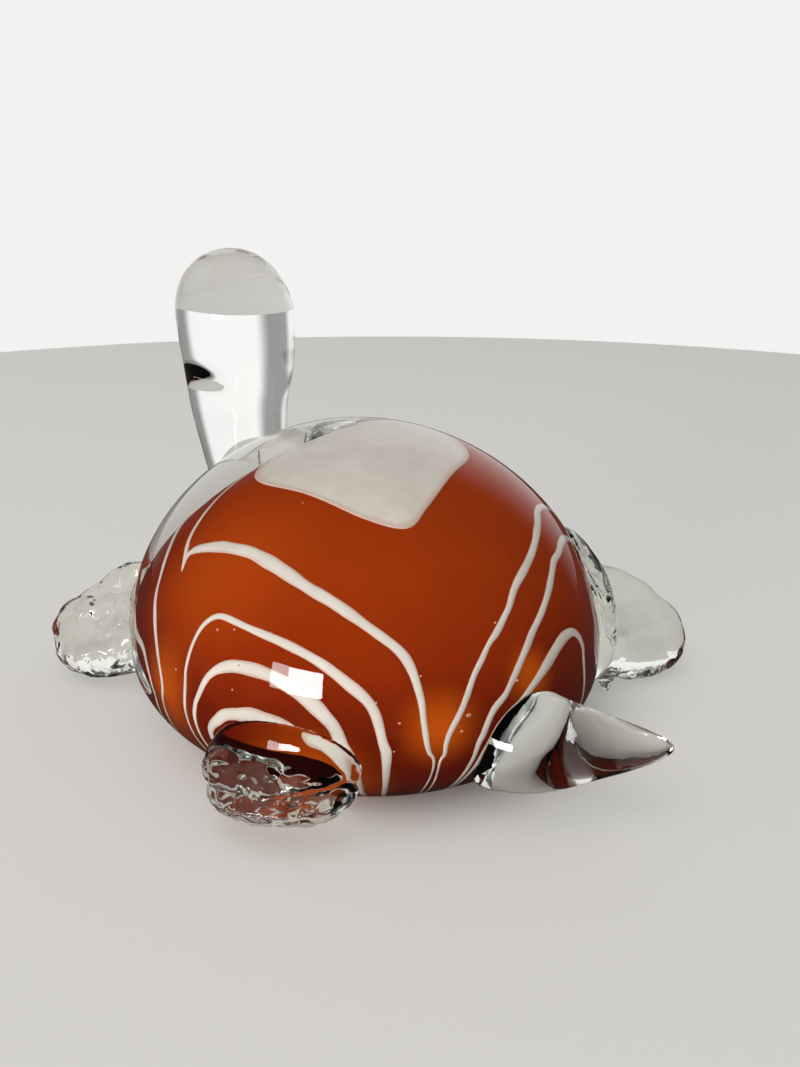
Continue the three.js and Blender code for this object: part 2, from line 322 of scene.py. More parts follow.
def slant_front(piece):
    spots = read_spots(piece)
    ahead = np.maximum(0, spots[:, 0] - CORE_SHIFT - SLANT_START)
    upper = np.clip((spots[:, 2] - CORE_WIDEST_HEIGHT) / SLANT_RISE, 0, 1)
    spots[:, 0] -= SLANT * ahead**2 / (ahead + SLANT_EASE) * upper
    write_spots(piece, spots)


def cut(piece, cutter, keep_cutter=False):
    before = len(piece.data.vertices)
    apply_modifier(piece, "BOOLEAN", object=cutter, operation="DIFFERENCE", solver="MANIFOLD")
    if len(piece.data.vertices) == before:
        raise RuntimeError(f"{cutter.name} took nothing out of {piece.name}")
    if not keep_cutter:
        bpy.data.objects.remove(cutter)


hollow = core_form("room_for_core", SEAM, HOLLOW_END)
slant_front(hollow)
slant_front(core)
cut(casing, hollow)
measure(casing)

# %% [markdown]
# ## White trails
# Bands of white glass were wound round the hot core and raked: a point was dragged down through them
# at a few places, which pulls each band into arches with steep legs. A trail is drawn as an angle
# round the body and a latitude on the core, and its half width at each knot, as one would sketch it
# on a globe.

# %% White trails
TRAILS = [
    [(154.5, -50, 0.12), (154.4, -15, 0.2), (153, -5.5, 0.33), (152, 8, 0.47), (151.2, 19, 0.58),
     (148, 31.5, 0.7), (140.5, 39.5, 0.76), (129, 46.5, 0.84), (116, 51, 0.94), (97, 54.7, 1.05),
     (76.5, 54, 1.08), (61, 48.7, 1.0), (52.4, 42, 0.9), (50, 37.4, 0.7), (55, 34.4, 0.1)],
    [(142, -50, 0.3), (143, -8.5, 0.68), (142, 3, 0.72), (139.3, 15.5, 0.78), (133, 23.5, 0.78),
     (125.4, 29.4, 0.73), (115.5, 33, 0.66), (104.6, 34.8, 0.58), (93.7, 35.3, 0.52), (87, 34.3, 0.48),
     (83.7, 30.3, 0.42), (82.8, 24, 0.38), (83.2, 13, 0.36), (84.3, 0, 0.34), (83, -50, 0.15)],
    [(135, -50, 0.35), (135, -16, 0.8), (131.5, 4, 0.96), (128.2, 11.3, 1.0), (122.2, 18, 1.02),
     (114.5, 21.8, 0.98), (106.2, 22.8, 0.94), (98.4, 21.2, 0.84), (93.3, 16.1, 0.66), (90.6, 7.3, 0.5),
     (88.5, -5, 0.4), (86.5, -51, 0.15)],
    [(131, -46, 0.4), (130, -12, 0.8), (121, 3.2, 1.0), (111.2, 6.5, 1.1), (104.7, 5.5, 1.0), (99, 2, 0.85),
     (95, -7, 0.6), (93.4, -17, 0.45), (92, -48, 0.15)],
    [(156.5, -50, 0.12), (156, -17, 0.2), (157, -9, 0.34), (157.6, 1.5, 0.44), (161.1, 11.2, 0.45),
     (165.4, 21.6, 0.48), (169.3, 27, 0.46), (172.6, 31, 0.38), (176, 33.6, 0.5), (183, 39, 0.5),
     (196, 46, 0.6), (229, 51, 0.6), (253, 45, 0.6), (264, 10, 0.5), (268, -40, 0.2)],
    [(163.5, -50, 0.2), (165, -15, 0.42), (166, -2.5, 0.5), (169.2, 8, 0.52), (173.5, 12.9, 0.52),
     (177, 18, 0.56), (183.4, 25.7, 0.56), (191, 31.8, 0.56), (211, 41, 0.55), (222, 42.5, 0.6),
     (240, 38, 0.6), (252, 10, 0.5), (257, -48, 0.2)],
    [(165, -50, 0.2), (167.5, -12, 0.4), (173, 3, 0.45), (179, 9.6, 0.5), (186.6, 16.2, 0.72),
     (193.5, 20.6, 0.86), (199, 22.3, 0.84), (203.5, 21, 0.66), (205.5, 15, 0.5), (204, 4, 0.4),
     (203, -40, 0.2)],
    [(55.6, 34, 0.1), (48.5, 36.1, 0.4), (39, 36.3, 0.5), (28, 36.6, 0.5), (13.4, 35.2, 0.45),
     (1.6, 34, 0.35), (-14, 30, 0.1)],
    [(66, -44, 0.2), (69, -18, 0.3), (72, -2, 0.42), (68, 7.5, 0.45), (59, 16, 0.5), (50, 20.5, 0.5),
     (40, 23.5, 0.5), (24, 21, 0.5), (0, 6, 0.5), (-16, -12, 0.5), (-22, -42, 0.2)],
    [(60, -42, 0.2), (61.5, -14, 0.5), (60, -3, 0.58), (54, 2.3, 0.6), (39.4, -1, 0.6), (12, -9, 0.6),
     (-6, -18, 0.5), (-10, -42, 0.2)],
    [(276, -42, 0.2), (278, 8, 0.6), (288, 27, 0.7), (301, 30.5, 0.8), (315, 25, 0.7), (325, 4, 0.6),
     (328, -42, 0.2)],
    [(284, -42, 0.2), (286, -8, 0.6), (293, 6, 0.7), (302, 8, 0.8), (312, 3, 0.7), (318, -12, 0.6),
     (319, -42, 0.2)],
]
print(len(TRAILS), "trails to lay")

# %% [markdown]
# A trail becomes a flat gather that lies in the core's surface, sunk a little. Its width swells and its
# line sways by a few hundredths, because no hand draws a thread quite evenly. The attribute "edge"
# says how near to its rim a spot lies, which the white glass needs later for its colour.

# %% Lay the trails
TRAIL_HALF_THICKNESS = 0.45
TRAIL_SINK = 0.3
TRAIL_SIDES = 16
TRAIL_STEPS = 130
FULL_HALF_WIDTH = 0.5
SLOW_SWELL = 0.06
SLOW_LENGTH = 2.1
QUICK_SWELL = 0.04
QUICK_LENGTH = 0.9
SWAY = 0.06
SWAY_LENGTH = 2.6
TRAIL_RIM = 0.55


def on_core(angle, latitude):
    turn, lift = np.radians(angle), np.radians(latitude)
    ball = np.column_stack([np.cos(lift) * np.cos(turn), np.cos(lift) * np.sin(turn), np.sin(lift)])
    height = np.where(latitude > 0, CORE_RISE, CORE_DROP)
    size = np.tile([CORE_HALF_LENGTH, CORE_HALF_WIDTH, 0.0], (len(height), 1))
    size[:, 2] = height
    return CORE_CENTRE + ball * size, unit(ball / size)


def mark_edge(piece, shares):
    edge = piece.data.attributes.new("edge", "FLOAT", "POINT")
    edge.data.foreach_set("value", np.asarray(shares, np.float32))


shown = math.sqrt(1 - (TRAIL_SINK / TRAIL_HALF_THICKNESS) ** 2)
across = np.abs(np.cos(np.linspace(0, 2 * np.pi, TRAIL_SIDES, endpoint=False))) / shown
trails = []
for i, knots in enumerate(TRAILS):
    angle, latitude, half_width = along_line(knots, np.linspace(0, 1, TRAIL_STEPS)).T
    line, outward = on_core(angle, latitude)
    ahead = unit(np.gradient(line, axis=0))
    side = unit(np.cross(outward, ahead))
    run = np.concatenate([[0], np.cumsum(np.linalg.norm(np.diff(line, axis=0), axis=1))])
    wobble = SLOW_SWELL * np.sin(run / SLOW_LENGTH + i) + QUICK_SWELL * np.sin(run / QUICK_LENGTH + 3 * i)
    half_width = half_width * (1 + wobble)
    thickness = TRAIL_HALF_THICKNESS * np.minimum(1, half_width / FULL_HALF_WIDTH) ** 0.5
    centre = line - outward * TRAIL_SINK * (thickness / TRAIL_HALF_THICKNESS)[:, None]
    centre += side * (SWAY * np.sin(run / SWAY_LENGTH + 2 * i))[:, None]
    name = f"white_trail_{i + 1:02d}_glass"
    trail = gather(name, centre, side, outward, half_width / shown, thickness, TRAIL_SIDES)
    slant_front(trail)
    mark_edge(trail, np.tile(smooth_step(across, TRAIL_RIM, 1.0), len(line)))
    trails.append(trail)
print(len(trails), "trails")
measure(trails[0])

# %% [markdown]
# ## White crown patch
# On the crown a pool of the same white glass was left unraked. Its outline is drawn from above, run on
# past both ends so that it closes smoothly, and dropped onto the core. The rings run outward over the
# patch's underside, up its edge and back in over its top, so the patch is a closed plate of even
# thickness that follows the dome.

# %% White crown patch
PATCH_THICKNESS = 0.8
PATCH_PROUD = 0.12
PATCH_SIDES = 120
PATCH_RIM = 0.9
OUTLINE_STEPS = 1200
UNDERSIDE_RINGS = 12
TOP_RINGS = 40
INNERMOST = 0.01
PATCH_OUTLINE = [
    (-9.2, 3.4), (-3, 6.8), (8, 7.6), (17.8, 7.5), (24.5, 3.5), (28, -3),
    (27, -10), (21, -17.5), (12.5, -20), (4.5, -17.8), (-0.8, -11.2), (-6.9, -2.3),
]
corners = PATCH_OUTLINE[-2:] + PATCH_OUTLINE + PATCH_OUTLINE[:3]
fine = along_line(corners, np.linspace(0, 1, OUTLINE_STEPS))
from_start = np.linalg.norm(fine - PATCH_OUTLINE[0], axis=1)
third = OUTLINE_STEPS // 3
start = int(np.argmin(from_start[:third]))
stop = 2 * third + int(np.argmin(from_start[2 * third :]))
outline = fine[np.linspace(start, stop, PATCH_SIDES, endpoint=False).astype(int)]
patch_middle = outline.mean(0)


def on_crown(plan, lift):
    size = np.array([CORE_HALF_LENGTH, CORE_HALF_WIDTH, CORE_RISE]) + lift
    rise = size[2] * np.sqrt(1 - (plan[:, 0] / size[0]) ** 2 - (plan[:, 1] / size[1]) ** 2)
    return CORE_CENTRE + np.column_stack([plan, rise])


going_out = np.linspace(INNERMOST, 1, UNDERSIDE_RINGS)
out_and_back = np.concatenate([going_out, np.linspace(1, INNERMOST, TOP_RINGS)])
rings = []
for i, share in enumerate(out_and_back):
    lift = PATCH_PROUD - (PATCH_THICKNESS if i < UNDERSIDE_RINGS else 0)
    rings.append(on_crown(patch_middle + share * (outline - patch_middle), lift))
patch = draw_out("white_crown_patch_glass", rings)
slant_front(patch)
mark_edge(patch, np.repeat(smooth_step(out_and_back, PATCH_RIM, 1.0), len(outline)))
measure(patch)

# %% [markdown]
# ## Air seeds
# Hand-gathered glass always traps a few seeds, tiny air bubbles, mostly where the white threads were
# laid on. Each is a small drop a few tenths of a millimetre wide, stretched a little the way the glass
# was turned, and lies on the core under the clear glass.

# %% Air seeds
SEED_TOP = 0.28
SEED_STEPS = 10
SEED_SIDES = 10
SEED_STRETCH = 1.3
SEEDS = [
    (163, 9, 0.34), (161, 3.5, 0.2), (146, 9.5, 0.18), (144.7, -2.5, 0.16), (177.5, 16.5, 0.24),
    (140.5, 17, 0.16), (151.8, 25, 0.15), (177, 36.8, 0.16), (54, 71, 0.15), (102, 22.8, 0.16),
    (89.5, 30.5, 0.22), (95.5, 32.8, 0.18), (108, 35.8, 0.15), (102, 14, 0.15), (79, 10, 0.2),
    (20, 5, 0.25), (5, 40, 0.2), (250, 20, 0.22), (300, 40, 0.2),
]
seeds = []
for angle, latitude, radius in SEEDS:
    along = 2 * crowded_shares(SEED_STEPS) - 1
    reach = np.degrees(SEED_STRETCH * radius / CORE_HALF_WIDTH)
    spots, outward = on_core(angle + along * reach, np.full(SEED_STEPS, float(latitude)))
    side = unit(np.cross(outward, np.gradient(spots, axis=0)))
    half_width = radius * np.sqrt(1 - along**2)
    centre = spots + (SEED_TOP - radius) * outward
    seeds.append(gather("air_seeds", centre, side, outward, half_width, half_width, SEED_SIDES))
only(*seeds)
bpy.ops.object.join()
air_seeds = bpy.context.object
air_seeds.name = "air_seeds"
slant_front(air_seeds)
measure(air_seeds)

# %% [markdown]
# ## Neck and head
# One club-shaped gather was drawn up from the front of the body: narrow at the throat, full at the
# head. Its outline is a list of half widths along its line. A press of the jacks across the front of
# the head left a shallow groove, the mouth.

# %% Neck and head
NECK_LINE = [(26, 0, 24), (37, 0, 36), (40.5, 0, 50), (40, 0, 62), (40.5, 0, 72), (39, 0, 82)]
NECK_HALF_WIDTHS = [(0, 0), (0.08, 10), (0.28, 8.2), (0.5, 9.6), (0.68, 11.1), (0.8, 11.5)]
NECK_STEPS = 160
NECK_SIDES = 64
SWELL_STEPS = 400
CROWN_START = 0.8
HEAD_DEPTH_RATIO = 1.08
MOUTH_HEIGHT = 59.3
MOUTH_SLOPE = 0.08
MOUTH_HALF_HEIGHT = 1.6
MOUTH_DEPTH = 1.6
MOUTH_AZIMUTH = 12.0
MOUTH_FULL = 25.0
MOUTH_END = 52.0
FRONT_TURN = 90.0

shares = crowded_shares(NECK_STEPS)
line = along_line(NECK_LINE, shares)
ahead = unit(np.gradient(line, axis=0))
side = unit(np.cross(np.array([1.0, 0.0, 0.0]), ahead))
over = unit(np.cross(ahead, side))
swell = along_line(NECK_HALF_WIDTHS, np.linspace(0, 1, SWELL_STEPS))
half_width = np.interp(shares, swell[:, 0], swell[:, 1])
to_top = np.clip((shares - CROWN_START) / (1 - CROWN_START), 0, 1)
half_width = np.where(to_top > 0, NECK_HALF_WIDTHS[-1][1] * np.sqrt(1 - to_top**2), half_width)


def mouth(turns, share):
    aside = np.degrees(turns) - FRONT_TURN - MOUTH_AZIMUTH
    level = np.interp(share, shares, line[:, 2]) - MOUTH_HEIGHT - MOUTH_SLOPE * aside
    pressed = MOUTH_DEPTH * np.exp(-((level / MOUTH_HALF_HEIGHT) ** 2))
    fading = 1 - smooth_step(np.abs(aside), MOUTH_FULL, MOUTH_END)
    shrink = 1 - pressed / NECK_HALF_WIDTHS[-1][1] * fading
    return shrink, shrink


neck = gather(
    "neck_and_head_glass", line, side, over, half_width, HEAD_DEPTH_RATIO * half_width,
    NECK_SIDES, mouth,
)
measure(neck)

# %% [markdown]
# ## Flippers
# Each flipper is a lump of clear glass stuck to the flank and squeezed flat with a jack. The squeeze
# leaves a thick rim on one edge and a thin web on the other, and a pad where the lump took hold. The
# hind flipper on the left was only pressed square, and a fold runs round it. For each flipper the
# sizes say where it sits and how far it reaches, its heights from root to tip, how wide and thick it
# is and how far it is rolled, then its pad (height and half height first) and its crimps.

# %% Flipper sizes
FLIPPER_ROOT_DEPTH = 25.0
FLIPPER_BLUNTNESS = 2.5
WIDEST_SHIFT = 1.5
FRONT = dict(reach=20.8, heights=(16, 12, 10), half_width=12.5, half_thickness=7, pad=(15, 10),
             taper=0.6, crimps=((9.0, 2.2, "SOFT_NOISE"), (4.5, 0.4, "HARD_NOISE")))
FLIPPERS = {
    "front_left_flipper": dict(FRONT, angle=36, roll=-48, rim=1),
    "front_right_flipper": dict(FRONT, angle=-36, roll=48, rim=-1),
    "rear_left_flipper": dict(
        angle=123.5, reach=7.5, heights=(12, 9, 9), half_width=12.3, half_thickness=7.5, roll=3,
        pad=(12, 7), rim=0, fold_height=9, crimps=((7.0, 1.4, "SOFT_NOISE"), (3.4, 0.9, "HARD_NOISE")),
    ),
    "rear_right_flipper": dict(
        angle=-116, reach=24.8, heights=(16, 12, 7.5), half_width=12, half_thickness=7, roll=52,
        pad=(18, 17, -12, 4.0), rim=-1, taper=0.35,
        drip=((-23.5, -40.5, 11), (-26.5, -39.5, 5), (-29.2, -38, -0.5)),
        crimps=((8.0, 1.2, "SOFT_NOISE"), (3.4, 0.35, "HARD_NOISE")),
    ),
}
print(len(FLIPPERS), "flippers to press")

# %% [markdown]
# The paddle is a gather with a pressed section. The pad is a second one that hugs the flank, and a
# run of glass that sagged before it froze is a third. They could be blended by hand, but joining them
# and remeshing the lot lets them run into each other as melted glass does.

# %% Paddle, pad and drip
SQUARENESS = 3.0
SQUARE_LIMIT = 0.01
WEB_SHARE = 0.45
WEB_END = -0.6
RIM_START = 0.75
NARROW_START = 0.7
NARROW_END = 0.97
ROOT_PINCH = 0.5
PINCH_START = 0.27
PINCH_END = 0.79
PAD_HALF_WIDTH = 12.0
PAD_HALF_THICKNESS = 2.6
PAD_SIDES = 48
PAD_STEPS = 40
LEAST_SWELL = 0.02
DRIP_RADIUS = 7.0
DRIP_ROOT_SHARE = 0.15
DRIP_STEPS = 24
DRIP_SIDES = 24


def squared_section(turns, along):
    flatter = 2 / SQUARENESS - 1
    wide = np.maximum(np.abs(np.cos(turns)), SQUARE_LIMIT) ** flatter
    return wide, np.maximum(np.abs(np.sin(turns)), SQUARE_LIMIT) ** flatter


def pressed_section(rim, taper):
    def section(turns, along):
        across = np.cos(turns)
        narrowed = taper * np.maximum(0, -rim * across) * smooth_step(along, NARROW_START, NARROW_END)
        at_root = 1 - smooth_step(along, PINCH_START, PINCH_END)
        pinched = ROOT_PINCH * np.maximum(0, rim * across) * at_root
        to_rim = smooth_step(rim * across, WEB_END, RIM_START)
        return 1 - narrowed - pinched, WEB_SHARE + (1 - WEB_SHARE) * to_rim
    return section if rim else squared_section


def line_frame(line, roll):
    ahead = unit(np.gradient(line, axis=0))
    side = unit(np.cross(np.array([0.0, 0.0, 1.0]), ahead))
    over = np.cross(ahead, side)
    turn = math.radians(roll)
    return side * math.cos(turn) + over * math.sin(turn), over * math.cos(turn) - side * math.sin(turn)


def add_pad(piece, angle, height, half_height, turned=0, half_thickness=PAD_HALF_THICKNESS):
    turns = np.linspace(0, 2 * np.pi, PAD_SIDES, endpoint=False)
    half_angle = PAD_HALF_WIDTH / BODY_HALF_WIDTH
    rings = []
    for share in 2 * crowded_shares(PAD_STEPS) - 1:
        swell = max(math.sqrt(1 - share**2), LEAST_SWELL)
        level = height + half_height * share
        radius = body_radius(level) + half_thickness * swell * np.sin(turns)
        around = math.radians(angle + turned) + half_angle * swell * np.cos(turns)
        x, y = BODY_STRETCH * radius * np.cos(around), radius * np.sin(around)
        rings.append(np.column_stack([x, y, np.full(PAD_SIDES, level)]))
    only(piece, draw_out("pad", rings))
    bpy.ops.object.join()


def add_drip(piece, knots):
    shares = crowded_shares(DRIP_STEPS)
    line = along_line(knots, shares)
    side, over = line_frame(line, 0)
    radius = DRIP_RADIUS * (1 - shares) * np.minimum(1, shares / DRIP_ROOT_SHARE) ** 0.5
    only(piece, gather("drip", line, side, over, radius, radius, DRIP_SIDES))
    bpy.ops.object.join()


# %% [markdown]
# A voxel remesh melts the joined lumps into one skin, and a plane cuts it level where it would stand
# below the foot. The jack's teeth and the cool tool then leave a fold and crimps, which only touch the
# glass that stands clear of the body. Clouds textures push the skin in and out for that, so the crimps
# are real shape and catch the light from any side.

# %% Melt, fold and crimp
UNDERSIDE = 0.4
MELT_GRAIN = 0.5
FOLD_SLOPE = 0.1
FOLD_DEPTH = 2.2
FOLD_HALF_HEIGHT = 1.1
FOLD_EASE = 4.0
CRIMP_START = 1.0
CRIMP_FULL = 6.0


def melt(piece, rounds):
    apply_modifier(piece, "REMESH", mode="VOXEL", voxel_size=MELT_GRAIN * MM)
    apply_modifier(piece, "SMOOTH", factor=0.5, iterations=rounds)
    only(piece)
    bpy.ops.object.mode_set(mode="EDIT")
    bpy.ops.mesh.select_all(action="SELECT")
    bpy.ops.mesh.bisect(plane_co=(0, 0, UNDERSIDE * MM), plane_no=(0, 0, 1), clear_inner=True)
    bpy.ops.mesh.select_all(action="SELECT")
    bpy.ops.mesh.fill_holes(sides=0)
    bpy.ops.mesh.normals_make_consistent(inside=False)
    bpy.ops.object.mode_set(mode="OBJECT")
    bpy.ops.object.shade_smooth()


def clear_of_body(spots):
    radius = np.array([body_radius(max(z, 0)) for z in spots[:, 2]])
    return np.hypot(spots[:, 0] / BODY_STRETCH, spots[:, 1]) - radius


def fold(piece, angle, height):
    spots = read_spots(piece)
    out = np.array([math.cos(math.radians(angle)), math.sin(math.radians(angle))])
    aside = spots[:, 1] * out[0] - spots[:, 0] * out[1]
    level = spots[:, 2] - height - FOLD_SLOPE * aside
    pinch = FOLD_DEPTH * np.exp(-((level / FOLD_HALF_HEIGHT) ** 2))
    pinch *= smooth_step(clear_of_body(spots), 0, FOLD_EASE)
    spots[:, :2] -= np.outer(pinch, out)
    write_spots(piece, spots)


def crimp(piece, crimps):
    pressed = piece.vertex_groups.new(name="pressed")
    out_of_body = clear_of_body(read_spots(piece))
    for i, weight in enumerate(smooth_step(out_of_body, CRIMP_START, CRIMP_FULL)):
        pressed.add([i], float(weight), "REPLACE")
    for size, depth, kind in crimps:
        grain = bpy.data.textures.new(f"crimps_{size:g}_mm", "CLOUDS")
        grain.noise_scale = size * MM
        grain.noise_type = kind
        apply_modifier(piece, "DISPLACE", texture=grain, texture_coords="LOCAL", strength=depth * MM,
                       vertex_group="pressed")
    piece.vertex_groups.clear()
    spots = read_spots(piece)
    spots[:, 2] = np.maximum(spots[:, 2], UNDERSIDE / 2)
    write_spots(piece, spots)


# %% [markdown]
# Now each flipper runs through the same steps as at the bench: gather, stick, melt, fold and crimp.
# One function does it for all four, and the sizes above say how they differ.

# %% Press the flippers
LIMB_STEPS = 64
FLIPPER_SMOOTHING = 6


def blunt(share):
    return (1 - np.abs(2 * share - 1) ** FLIPPER_BLUNTNESS) ** (1 / FLIPPER_BLUNTNESS)


def flipper_form(name, angle, reach, heights, half_width, half_thickness, roll, pad, rim, crimps,
                 taper=0, fold_height=None, drip=None):
    turn = math.radians(angle)
    flank = BODY_HALF_WIDTH * math.hypot(BODY_STRETCH * math.cos(turn), math.sin(turn))
    root, tip = flank - FLIPPER_ROOT_DEPTH, flank + reach
    radii = (root, (root + tip) / 2, tip)
    knots = [(r * math.cos(turn), r * math.sin(turn), level) for r, level in zip(radii, heights)]
    shares = crowded_shares(LIMB_STEPS)
    line = along_line(knots, shares)
    side, over = line_frame(line, roll)
    width, thickness = half_width * blunt(shares**WIDEST_SHIFT), half_thickness * blunt(shares)
    section = pressed_section(rim, taper)
    piece = gather(name + "_glass", line, side, over, width, thickness, section=section)
    add_pad(piece, angle, *pad)
    if drip:
        add_drip(piece, drip)
    melt(piece, FLIPPER_SMOOTHING)
    if fold_height:
        fold(piece, angle, fold_height)
    crimp(piece, crimps)
    return piece


limbs = {name: flipper_form(name, **shape) for name, shape in FLIPPERS.items()}
for limb in limbs.values():
    measure(limb)

# %% [markdown]
# ## Tail
# The tail is a last drop of clear glass, drawn out and let swing to one side. Its radius falls along
# a curve, and the thread was cut in the flame, so the tip is a small round bead and no needle.

# %% Tail
TAIL_RADIUS = 11.2
TAIL_TAPER = 0.88
TAIL_ROOT_SHARE = 0.125
TAIL_TIP_RADIUS = 2.2
TAIL_TIP_SHARE = 0.72
TAIL_SMOOTHING = 3
TAIL_LINE = [(-9.4, 2.2, 12), (-0.4, 0.4, 11.9), (7.6, -6.8, 11.8), (15.1, -14.5, 11.8)]
BODY_HALF_LENGTH = BODY_STRETCH * BODY_HALF_WIDTH

shares = crowded_shares(LIMB_STEPS)
line = along_line([(-BODY_HALF_LENGTH - out, aside, level) for out, aside, level in TAIL_LINE], shares)
side, over = line_frame(line, 0)
radius = TAIL_RADIUS * (1 - shares) ** TAIL_TAPER * np.minimum(1, shares / TAIL_ROOT_SHARE) ** 0.5
to_tip = np.clip((shares - TAIL_TIP_SHARE) / (1 - TAIL_TIP_SHARE), 0, 1)
radius = np.hypot(radius, TAIL_TIP_RADIUS * np.sqrt(1 - to_tip**2))
tail = gather("tail_glass", line, side, over, radius, radius)
melt(tail, TAIL_SMOOTHING)
limbs["tail"] = tail
limbs["neck_and_head"] = neck
measure(tail)

# %% [markdown]
# ## Fused seats
# Each limb is trimmed to sit in a shallow recess in the casing, a tenth of a millimetre clear of it, so
# that every piece stays a closed body of its own. A copy of the limb, cut to the recess's depth, is
# the tool that takes the recess out of the casing, and the body's outline, shrunk, trims the limb.

# %% Seat the limbs in the casing
RECESS = 0.2
SEAT = 0.1
seat_cutter = dome_form("seat_cutter", -SEAT)
recess_cutter = dome_form("recess_cutter", -RECESS)
for limb in limbs.values():
    only(limb)
    bpy.ops.object.duplicate()
    recess = bpy.context.object
    cut(recess, recess_cutter, keep_cutter=True)
    cut(casing, recess)
    cut(limb, seat_cutter, keep_cutter=True)
    measure(limb)
bpy.data.objects.remove(seat_cutter)
bpy.data.objects.remove(recess_cutter)
measure(casing)

# %% [markdown]
# ## Colours and nodes
# Colours are written as they look on screen, in hex, and one function turns them into the linear
# values that the renderer works with. Another adds a node with its settings and its links.

# %% Material helpers


def linear(colour):
    channels = [int(colour[i : i + 2], 16) / 255 for i in (1, 3, 5)]
    return [c / 12.92 if c <= 0.04045 else ((c + 0.055) / 1.055) ** 2.4 for c in channels] + [1.0]


def new_material(name):
    material = bpy.data.materials.new(name)
    material.use_nodes = True
    material.node_tree.nodes.clear()
    return material, material.node_tree


def add_node(tree, kind, links=None, inputs=None, **settings):
    node = tree.nodes.new(kind)
    for name, value in settings.items():
        setattr(node, name, value)
    for name, value in (inputs or {}).items():
        node.inputs[name].default_value = value
    for name, source in (links or {}).items():
        tree.links.new(source, node.inputs[name])
    return node


# %% [markdown]
# Some small set-ups come back in several materials: arithmetic, a fade from one value to another, clouds
# of a given size, a row of tones, a matte colour under clear glass, and the share of a ray that comes
# from the outer mirror of the glass.

# %% Shared set-ups


def reckon(tree, operation, links, inputs=None, **settings):
    node = add_node(tree, "ShaderNodeMath", links, inputs, operation=operation, **settings)
    return node.outputs[0]


def fade(tree, value, between, gives, kind="SMOOTHSTEP"):
    return add_node(
        tree, "ShaderNodeMapRange", {"Value": value},
        {"From Min": between[0], "From Max": between[1], "To Min": gives[0], "To Max": gives[1]},
        interpolation_type=kind,
    ).outputs["Result"]


def clouds(tree, place, size, detail, roughness=0.5):
    return add_node(
        tree, "ShaderNodeTexNoise", {"Vector": place.outputs["Object"]},
        {"Scale": 1 / (size * MM), "Detail": detail, "Roughness": roughness},
    ).outputs["Fac"]


def tones(tree, amount, *stops):
    ramp = add_node(tree, "ShaderNodeValToRGB", {"Fac": amount})
    marks = ramp.color_ramp.elements
    for i, (position, tone) in enumerate(stops):
        mark = marks[i] if i < 2 else marks.new(position)
        mark.position = position
        mark.color = linear(tone)
    return ramp.outputs["Color"]


def show(tree, shader):
    add_node(tree, "ShaderNodeOutputMaterial", {"Surface": shader.outputs[0]})


def show_matte(tree, colour):
    paint = add_node(
        tree, "ShaderNodeBsdfPrincipled", {"Base Color": colour},
        {"Roughness": 0.6, "Specular IOR Level": 0.0},
    )
    show(tree, paint)


def mirror_share(tree, ray):
    rays = {0: ray.outputs["Is Glossy Ray"], 1: ray.outputs["Is Transmission Ray"]}
    return reckon(tree, "SUBTRACT", rays, use_clamp=True)


# %% [markdown]
# ## Fire-polished clear glass
# All clear pieces are soda-lime glass, with an IOR of 1.52. The body and the neck were polished by the
# flame alone, so they are very smooth but never quite flat: slow waves, some 14 mm long, bend what is
# seen through them. The limbs came from a second gather with a faint yellow-green tint, and pressing
# left waves of 6 mm in them. The front flippers were squeezed coldest, and their skin is crumpled, so
# they glitter. Rays from lamps pass straight through, so that the core inside is lit cleanly.

# %% Fire-polished clear glass


def soda_lime(name, tint, shade, wave_length, wave_height):
    material, tree = new_material(name)
    place = add_node(tree, "ShaderNodeTexCoord")
    waves = clouds(tree, place, wave_length, detail=1.0, roughness=0.4)
    bump = add_node(
        tree, "ShaderNodeBump", {"Height": waves},
        {"Strength": 1.0, "Distance": wave_height * MM},
    )
    glass = add_node(
        tree, "ShaderNodeBsdfPrincipled", {"Normal": bump.outputs["Normal"]},
        {"Base Color": linear(tint), "Roughness": 0.0, "IOR": 1.52, "Transmission Weight": 1.0},
    )
    through = add_node(tree, "ShaderNodeBsdfTransparent", None, {"Color": linear(shade)})
    ray = add_node(tree, "ShaderNodeLightPath")
    mix = add_node(
        tree, "ShaderNodeMixShader",
        {0: ray.outputs["Is Shadow Ray"], 1: glass.outputs[0], 2: through.outputs[0]},
    )
    show(tree, mix)
    return material


clear_glass = soda_lime(
    "soda_lime_glass_fire_polished", tint="#FBFCF9", shade="#FCFCFB", wave_length=14, wave_height=0.06,
)
limb_glass = soda_lime(
    "soda_lime_glass_hot_pressed", tint="#FAFBF5", shade="#F6F7F5", wave_length=6, wave_height=0.2,
)
crumpled_glass = soda_lime(
    "soda_lime_glass_hot_crumpled", tint="#FAFAF2", shade="#F6F7F5", wave_length=5, wave_height=3.0,
)

# A fused joint gives the eye nothing at all: light goes straight on.
fused, tree = new_material("fused_glass_joint")
joint = add_node(tree, "ShaderNodeBsdfTransparent", None, {"Color": (1.0, 1.0, 1.0, 1.0)})
show(tree, joint)
print("clear glass and fused joint")
